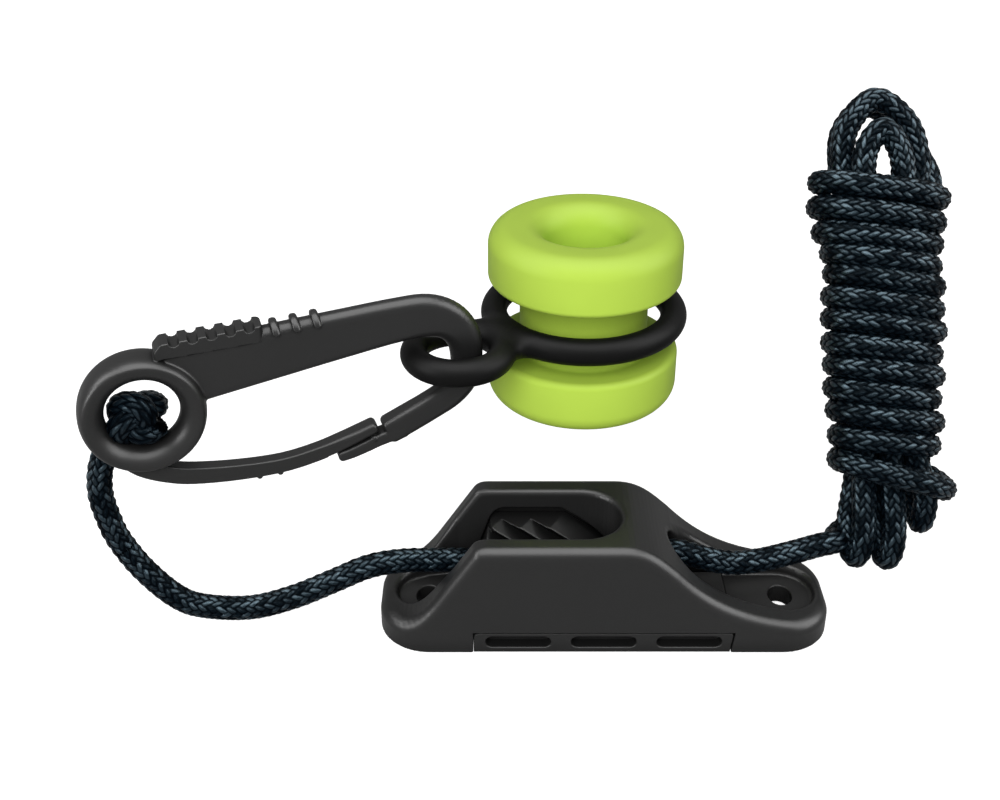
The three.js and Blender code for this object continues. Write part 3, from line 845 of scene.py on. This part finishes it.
def main_run():
    """The working length: out of the hank, through the cleat, along the lead and up into the eye."""
    out_of_hank = [
        (-2.2, 26, 2.2), (-3, 19, 5), (-3.4, 13, 6.6), (-5.2, 7.6, 6.6), (-9.2, 4.4, 4.4),
    ]
    through = [
        (48.6, 4.8, 14.6), (44.7, 3.6, 14.4), (38, 2, 13.4), (31.6, 0.6, 12.7), (25.7, 0, 12.6),
        (19.5, 0, 14.1), (13.6, 0, 15.6), (6, 0, 13.9), (0, 0, CORD_HEIGHT), (-10, 0, CORD_HEIGHT),
        (-20, 0, CORD_HEIGHT), (-34.5, 0, CORD_HEIGHT),
    ]
    lead = [
        (-42.7, -1, 13.8), (-49.3, -2.5, 13.4), (-56.2, -4, 11), (-64.5, -5.5, 8), (-73.6, -6.5, 6),
        (-83.3, -7, 6.9), (-88.6, -7, 9.6), (-94.3, -6.5, 15.8), (-98.4, -5.6, 22.2),
        (-100.1, -5, 27), (-101.2, -4.2, 33), (-100.4, -3.2, 39), (-97.6, -2.4, 44.4),
    ]
    return run_of([hank_point(*p) for p in out_of_hank] + through + lead + knot_path())


# Where each turn passes the hank's left and right edges: its height along the hank, and its reach
# from the hank's middle.
LEFT_HEIGHTS = (79.1, 74.1, 68.9, 64.6, 60.3, 55.5, 50.9, 45.8, 41.2, 36.3, 31.6, 26.2, 21.2)
RIGHT_HEIGHTS = (75.6, 70.5, 66.0, 61.4, 57.2, 52.5, 48.0, 43.3, 38.7, 34.0, 29.1, 24.4, 15.2)
LEFT_REACH = (14.2, 14.3, 13.2, 11.4, 10.7, 11.1, 11.1, 11.0, 10.6, 10.5, 9.9, 9.4, 9.4)
RIGHT_REACH = (10.5, 9.7, 9.1, 8.8, 9.6, 9.5, 10.0, 9.2, 9.7, 9.0, 9.7, 8.9, 12.2)


def half_turn(start, end, facing, count=8):
    """Half a turn between two edges of the hank, each given as its height and reach.

    Facing is -1 for the front, from left to right, and 1 for the back, from right to left.
    """
    start_height, start_reach = start
    end_height, end_reach = end
    side_fullness = 0.85
    face_fullness = 0.8
    shift = (end_reach - start_reach) / 2
    half = (end_reach + start_reach) / 2
    path = []
    for i in range(count):
        turn = math.pi * i / count
        swing = math.cos(turn)
        swing = math.copysign(abs(swing) ** side_fullness, swing)
        ease = 0.5 - 0.5 * math.cos(turn)
        across = (shift - half * swing) * -facing
        height = start_height + (end_height - start_height) * ease
        path.append((across, height, facing * HANK_DEPTH * abs(math.sin(turn)) ** face_fullness))
    return path


def turns_run():
    """The turns wound round the hank, from the top one down to the loose one at the foot."""
    lefts = list(zip(LEFT_HEIGHTS, LEFT_REACH))
    rights = list(zip(RIGHT_HEIGHTS, RIGHT_REACH))
    path = [(2.5, 70, 0), (2, 76.5, 4), (-3, 79.6, 7.2), (-9, 80.2, 6.4)]
    for n, (left, right) in enumerate(zip(lefts, rights)):
        path += half_turn(left, right, -1)
        if n + 1 < len(lefts):
            path += half_turn(right, lefts[n + 1], 1)
    path += [(12.4, 15.2, 0), (11.6, 16.6, 4), (7.5, 19, 6.4), (2, 22, 5.4), (-1, 28, 2)]
    return run_of([hank_point(*p) for p in path])


def foot_fold(column, front, back, drop, row):
    """A bight that hangs out of the hank's foot, down its front leg and up its back leg."""
    top = 44
    waist = 22
    bend = drop + 5.5
    return [
        (column, top, -row), (0.6 * column + 0.4 * front, waist, -row), (front, bend, -row),
        (0.5 * (front + back), drop, 0), (back, bend, row), (column, waist, row),
        (column, top, row),
    ]


def fold_runs():
    """Loops that stand out of the top of the hank and bights that hang out of its foot."""
    row = 2.45
    outer = [
        (-5, 50), (-5, 64), (-6.7, 75), (-8.6, 83), (-7.8, 91), (-2.1, 96.9), (4.7, 92), (7.2, 84),
        (6.4, 76), (5, 64), (5, 50),
    ]
    inner = [
        (-5.2, 50), (-5.3, 66), (-5.5, 78), (-5.0, 85.6), (-1.6, 89.9), (1.9, 85.6), (2.8, 78),
        (2.7, 66), (2.4, 50),
    ]
    behind = [
        (-6, 60, 0), (-7.4, 72, 1.2), (-8.6, 82, 5.2), (-7.8, 90.8, 7), (-2.1, 96.4, 7.2),
        (4.4, 92, 6.9), (8, 86, 6), (10.3, 80.6, 4.9), (9.6, 74, 3), (6, 60, 0),
    ]
    paths = [[(a, h, row) for a, h in outer], [(a, h, -row) for a, h in inner], behind]
    # Where each bight stands in the hank, where its two legs come out, and how low it hangs.
    feet = ((-5, -4.9, -7, 0.8), (0.2, 1.5, -0.3, 0.3), (5, 8, 7.2, 7.9))
    paths += [foot_fold(*foot, row) for foot in feet]
    return [run_of([hank_point(*p) for p in path]) for path in paths]


def build_working_cord(materials):
    """The working length in three pieces, made one after another along one run."""
    material = materials["cord"]
    run = main_run()
    inside = nearest(run, (2, 0, 13.4))
    seam = nearest(run, (-97.6, -5.8, 20.5))
    finish = run["s"][-1] - 1
    tail = braid("cord_tail", [weave(run, 1, inside)], material)
    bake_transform(tail)
    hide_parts("line_tail")
    lead = braid("cord_lead", [weave(run, inside, seam)], material)
    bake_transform(lead)
    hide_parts("line_in_cleat", "line_lead")
    riser = braid("cord_riser_and_knot", [weave(run, seam, finish)], material)
    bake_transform(riser)
    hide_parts("line_riser", "stopper_knot")


def build_hank(materials):
    material = materials["cord"]
    turns = turns_run()
    wraps = braid("hank_turns", [weave(turns, 1, turns["s"][-1] - 1)], material)
    ride_for(wraps, "hank", "hank_wraps")
    lengths = [weave(fold, 1, fold["s"][-1] - 1) for fold in fold_runs()]
    folds = braid("hank_folds", lengths, material)
    ride_for(folds, "hank", "hank_bights")


# ---- materials ----
NYLON_BLACK = (0.017, 0.017, 0.017)
RUBBER_BLACK = (0.004, 0.004, 0.004)
LIME = (0.51, 0.73, 0.085)
CORD_DARK = (0.0008, 0.0015, 0.0026, 1)
CORD_PALE = (0.0040, 0.0092, 0.0148, 1)
CORD_SHEEN = (0.62, 0.86, 1.0, 1)


def new_material(name):
    """A material, its node tree and its main shader."""
    material = bpy.data.materials.new(name)
    material.use_nodes = True
    tree = material.node_tree
    return material, tree, tree.nodes["Principled BSDF"]


def add_node(tree, kind, **values):
    """A node with sockets or settings given by name."""
    node = tree.nodes.new(kind)
    for key, value in values.items():
        socket = node.inputs.get(key)
        if socket is not None:
            socket.default_value = value
        else:
            setattr(node, key, value)
    return node


def remap(tree, source, start, end, from_low=0.0, from_high=1.0):
    """The source stretched to run from start to end, held at both."""
    node = add_node(tree, "ShaderNodeMapRange")
    node.inputs["From Min"].default_value = from_low
    node.inputs["From Max"].default_value = from_high
    node.inputs["To Min"].default_value = start
    node.inputs["To Max"].default_value = end
    tree.links.new(source, node.inputs["Value"])
    return node.outputs["Result"]


def scaled_colour(colour, share):
    """A share of a colour, as an opaque one."""
    return (*[share * c for c in colour], 1)


def moulded(name, colour, roughness, grain, specular):
    """Smooth plastic or rubber with a fine grain, and painted shade that makes it darker and duller
    in its hollows.
    """
    gloss_spread = 0.04
    tint_spread = 0.06
    painted_hollow_shade = 0.6
    painted_hollow_dulling = 0.2
    material, tree, shader = new_material(name)
    link = tree.links.new
    place = add_node(tree, "ShaderNodeTexCoord")
    mottle = add_node(tree, "ShaderNodeTexNoise", Scale=60.0, Detail=3.0)
    link(place.outputs["Object"], mottle.inputs["Vector"])
    low_gloss = roughness - gloss_spread
    gloss = remap(tree, mottle.outputs["Fac"], low_gloss, roughness + gloss_spread)
    link(gloss, shader.inputs["Roughness"])
    tint = add_node(tree, "ShaderNodeMix", data_type="RGBA")
    tint.inputs["A"].default_value = scaled_colour(colour, 1 - tint_spread)
    tint.inputs["B"].default_value = scaled_colour(colour, 1 + tint_spread)
    link(mottle.outputs["Fac"], tint.inputs["Factor"])
    # Painted shade: ambient occlusion darkens the colour and lowers the specular in hollows, corners
    # and creases.
    hollow = add_node(tree, "ShaderNodeAmbientOcclusion", Distance=0.006, samples=8)
    openness = remap(tree, hollow.outputs["AO"], 0.0, 1.0, 0.25, 0.9)
    shade = add_node(tree, "ShaderNodeMix", data_type="RGBA")
    shade.inputs["A"].default_value = scaled_colour(colour, painted_hollow_shade)
    link(openness, shade.inputs["Factor"])
    link(tint.outputs["Result"], shade.inputs["B"])
    link(shade.outputs["Result"], shader.inputs["Base Color"])
    shaded_specular = remap(tree, openness, painted_hollow_dulling * specular, specular)
    link(shaded_specular, shader.inputs["Specular IOR Level"])
    speck = add_node(tree, "ShaderNodeTexNoise", Scale=grain, Detail=2.0)
    link(place.outputs["Object"], speck.inputs["Vector"])
    bump = add_node(tree, "ShaderNodeBump", Strength=0.12, Distance=0.00004)
    link(speck.outputs["Fac"], bump.inputs["Height"])
    link(bump.outputs["Normal"], shader.inputs["Normal"])
    return material


def braided():
    """Dark navy polyester: fine fibres along each stitch, and painted shade that darkens the creases
    between the stitches and dulls their sheen.
    """
    material, tree, shader = new_material("braided_polyester")
    link = tree.links.new

    def maths(operation, *values):
        node = add_node(tree, "ShaderNodeMath", operation=operation)
        for socket, value in zip(node.inputs, values):
            if isinstance(value, float):
                socket.default_value = value
            else:
                link(value, socket)
        return node.outputs["Value"]

    stitch = add_node(tree, "ShaderNodeUVMap", uv_map="Stitch")
    stretch = add_node(tree, "ShaderNodeMapping")
    stretch.inputs["Scale"].default_value = (9.0, 0.9, 1.0)
    link(stitch.outputs["UV"], stretch.inputs["Vector"])
    fibres = add_node(tree, "ShaderNodeTexNoise", Scale=1.6, Detail=2.0, Distortion=0.25)
    link(stretch.outputs["Vector"], fibres.inputs["Vector"])
    tone = add_node(tree, "ShaderNodeAttribute", attribute_name="Tone")
    split = add_node(tree, "ShaderNodeSeparateXYZ")
    link(stitch.outputs["UV"], split.inputs["Vector"])
    # Painted shade: the colour darkens and the sheen drops towards each stitch's edges and ends,
    # where the creases between stitches lie.
    from_middle = maths("ABSOLUTE", maths("MULTIPLY_ADD", split.outputs["X"], 2.0, -1.0))
    from_crest = maths("ABSOLUTE", maths("ADD", split.outputs["Y"], -1.0))
    painted_crease_shade = maths("ADD", maths("POWER", from_middle, 4.0), maths("POWER", from_crest, 6.0))
    streaks = maths("MULTIPLY", fibres.outputs["Fac"], 0.6)
    light = maths("ADD", streaks, maths("MULTIPLY", tone.outputs["Fac"], 0.5))
    light = maths("SUBTRACT", light, maths("MULTIPLY", painted_crease_shade, 0.6))
    ramp = add_node(tree, "ShaderNodeValToRGB")
    dark, pale = ramp.color_ramp.elements
    dark.position = 0.1
    dark.color = CORD_DARK
    pale.position = 0.8
    pale.color = CORD_PALE
    link(light, ramp.inputs["Fac"])
    link(ramp.outputs["Color"], shader.inputs["Base Color"])
    sheen = remap(tree, light, 0.03, 0.9, 0.35, 0.85)
    link(sheen, shader.inputs["Specular IOR Level"])
    shader.inputs["Roughness"].default_value = 0.3
    shader.inputs["Specular Tint"].default_value = CORD_SHEEN
    bump = add_node(tree, "ShaderNodeBump", Strength=0.6, Distance=0.00012)
    link(fibres.outputs["Fac"], bump.inputs["Height"])
    link(bump.outputs["Normal"], shader.inputs["Normal"])
    return material


def pale_floor():
    """White to the camera, and a quieter grey where it lights or is mirrored in the object."""
    material, tree, shader = new_material("pale_floor")
    link = tree.links.new
    shader.inputs["Base Color"].default_value = (0.9, 0.9, 0.9, 1)
    shader.inputs["Roughness"].default_value = 0.9
    shader.inputs["Specular IOR Level"].default_value = 0.0
    shader.inputs["Emission Color"].default_value = (1, 1, 1, 1)
    shader.inputs["Emission Strength"].default_value = 0.75
    quiet = add_node(tree, "ShaderNodeBsdfDiffuse", Color=(0.6, 0.6, 0.6, 1))
    seen = add_node(tree, "ShaderNodeLightPath")
    choice = add_node(tree, "ShaderNodeMixShader")
    link(seen.outputs["Is Camera Ray"], choice.inputs["Fac"])
    link(quiet.outputs["BSDF"], choice.inputs[1])
    link(shader.outputs["BSDF"], choice.inputs[2])
    link(choice.outputs["Shader"], tree.nodes["Material Output"].inputs["Surface"])
    return material


def build_materials():
    return {
        "nylon": moulded("black_nylon", NYLON_BLACK, roughness=0.36, grain=2600.0, specular=0.36),
        "rubber": moulded("black_rubber", RUBBER_BLACK, roughness=0.5, grain=1800.0, specular=0.1),
        "lime": moulded("lime_rubber", LIME, roughness=0.5, grain=1800.0, specular=0.12),
        "cord": braided(),
    }


# ---- stage, metres ----
# Name, place, width, power, and whether the lamp shows in gloss and whether it lights matt colour.
LAMPS = (
    ("front", (-0.15, -1.0, 0.75), 0.8, 13.0, False, True),
    ("left_high", (-0.75, -0.1, 0.65), 0.5, 6.0, True, False),
    ("right", (0.85, -0.15, 0.55), 0.8, 12.5, True, False),
    ("left_low", (-0.95, -0.5, 0.32), 0.45, 6.0, True, False),
    ("above", (0.0, -0.15, 1.0), 1.2, 26.0, True, False),
)


def add_floor():
    """A wide floor just under the cleat, so that the two never share a plane."""
    size = 6.0
    gap = 0.0004
    corners = [(-size, -size, 0), (size, -size, 0), (size, size, 0), (-size, size, 0)]
    mesh = bpy.data.meshes.new("floor")
    mesh.from_pydata(corners, [], [(0, 1, 2, 3)])
    mesh.materials.append(pale_floor())
    floor = bpy.data.objects.new("floor", mesh)
    floor.location.z = -gap
    bpy.context.scene.collection.objects.link(floor)


def add_world():
    """White behind the object, and dimmer as a light on it."""
    world = bpy.data.worlds.new("studio")
    bpy.context.scene.world = world
    world.use_nodes = True
    tree = world.node_tree
    background = tree.nodes["Background"]
    background.inputs["Color"].default_value = (1, 1, 1, 1)
    seen = add_node(tree, "ShaderNodeLightPath")
    level = remap(tree, seen.outputs["Is Camera Ray"], 0.3, 1.0)
    tree.links.new(level, background.inputs["Strength"])


def add_lamp(name, place, size, power, on_gloss, on_matt):
    data = bpy.data.lights.new(name, "AREA")
    data.size = size
    data.energy = power
    lamp = bpy.data.objects.new(name, data)
    lamp.location = place
    toward = Vector((0, 0, 0.03)) - lamp.location
    lamp.rotation_euler = toward.to_track_quat("-Z", "Y").to_euler()
    lamp.visible_glossy = on_gloss
    lamp.visible_diffuse = on_matt
    bpy.context.scene.collection.objects.link(lamp)


def add_camera():
    data = bpy.data.cameras.new("camera")
    data.lens = 50
    data.sensor_width = 36
    data.clip_start = 0.01
    camera = bpy.data.objects.new("camera", data)
    camera.location = (-0.022, -0.2335, 0.1865)
    camera.rotation_euler = (math.radians(60), 0, 0)
    bpy.context.scene.collection.objects.link(camera)
    bpy.context.scene.camera = camera


def build_stage():
    add_floor()
    add_world()
    for lamp in LAMPS:
        add_lamp(*lamp)
    add_camera()
    bpy.context.scene.view_settings.view_transform = "Standard"


def main():
    materials = build_materials()
    build_housing(materials)
    build_insert(materials)
    build_hook(materials)
    build_gate(materials)
    build_ring(materials)
    build_bobbin(materials)
    build_working_cord(materials)
    build_hank(materials)
    build_stage()


main()
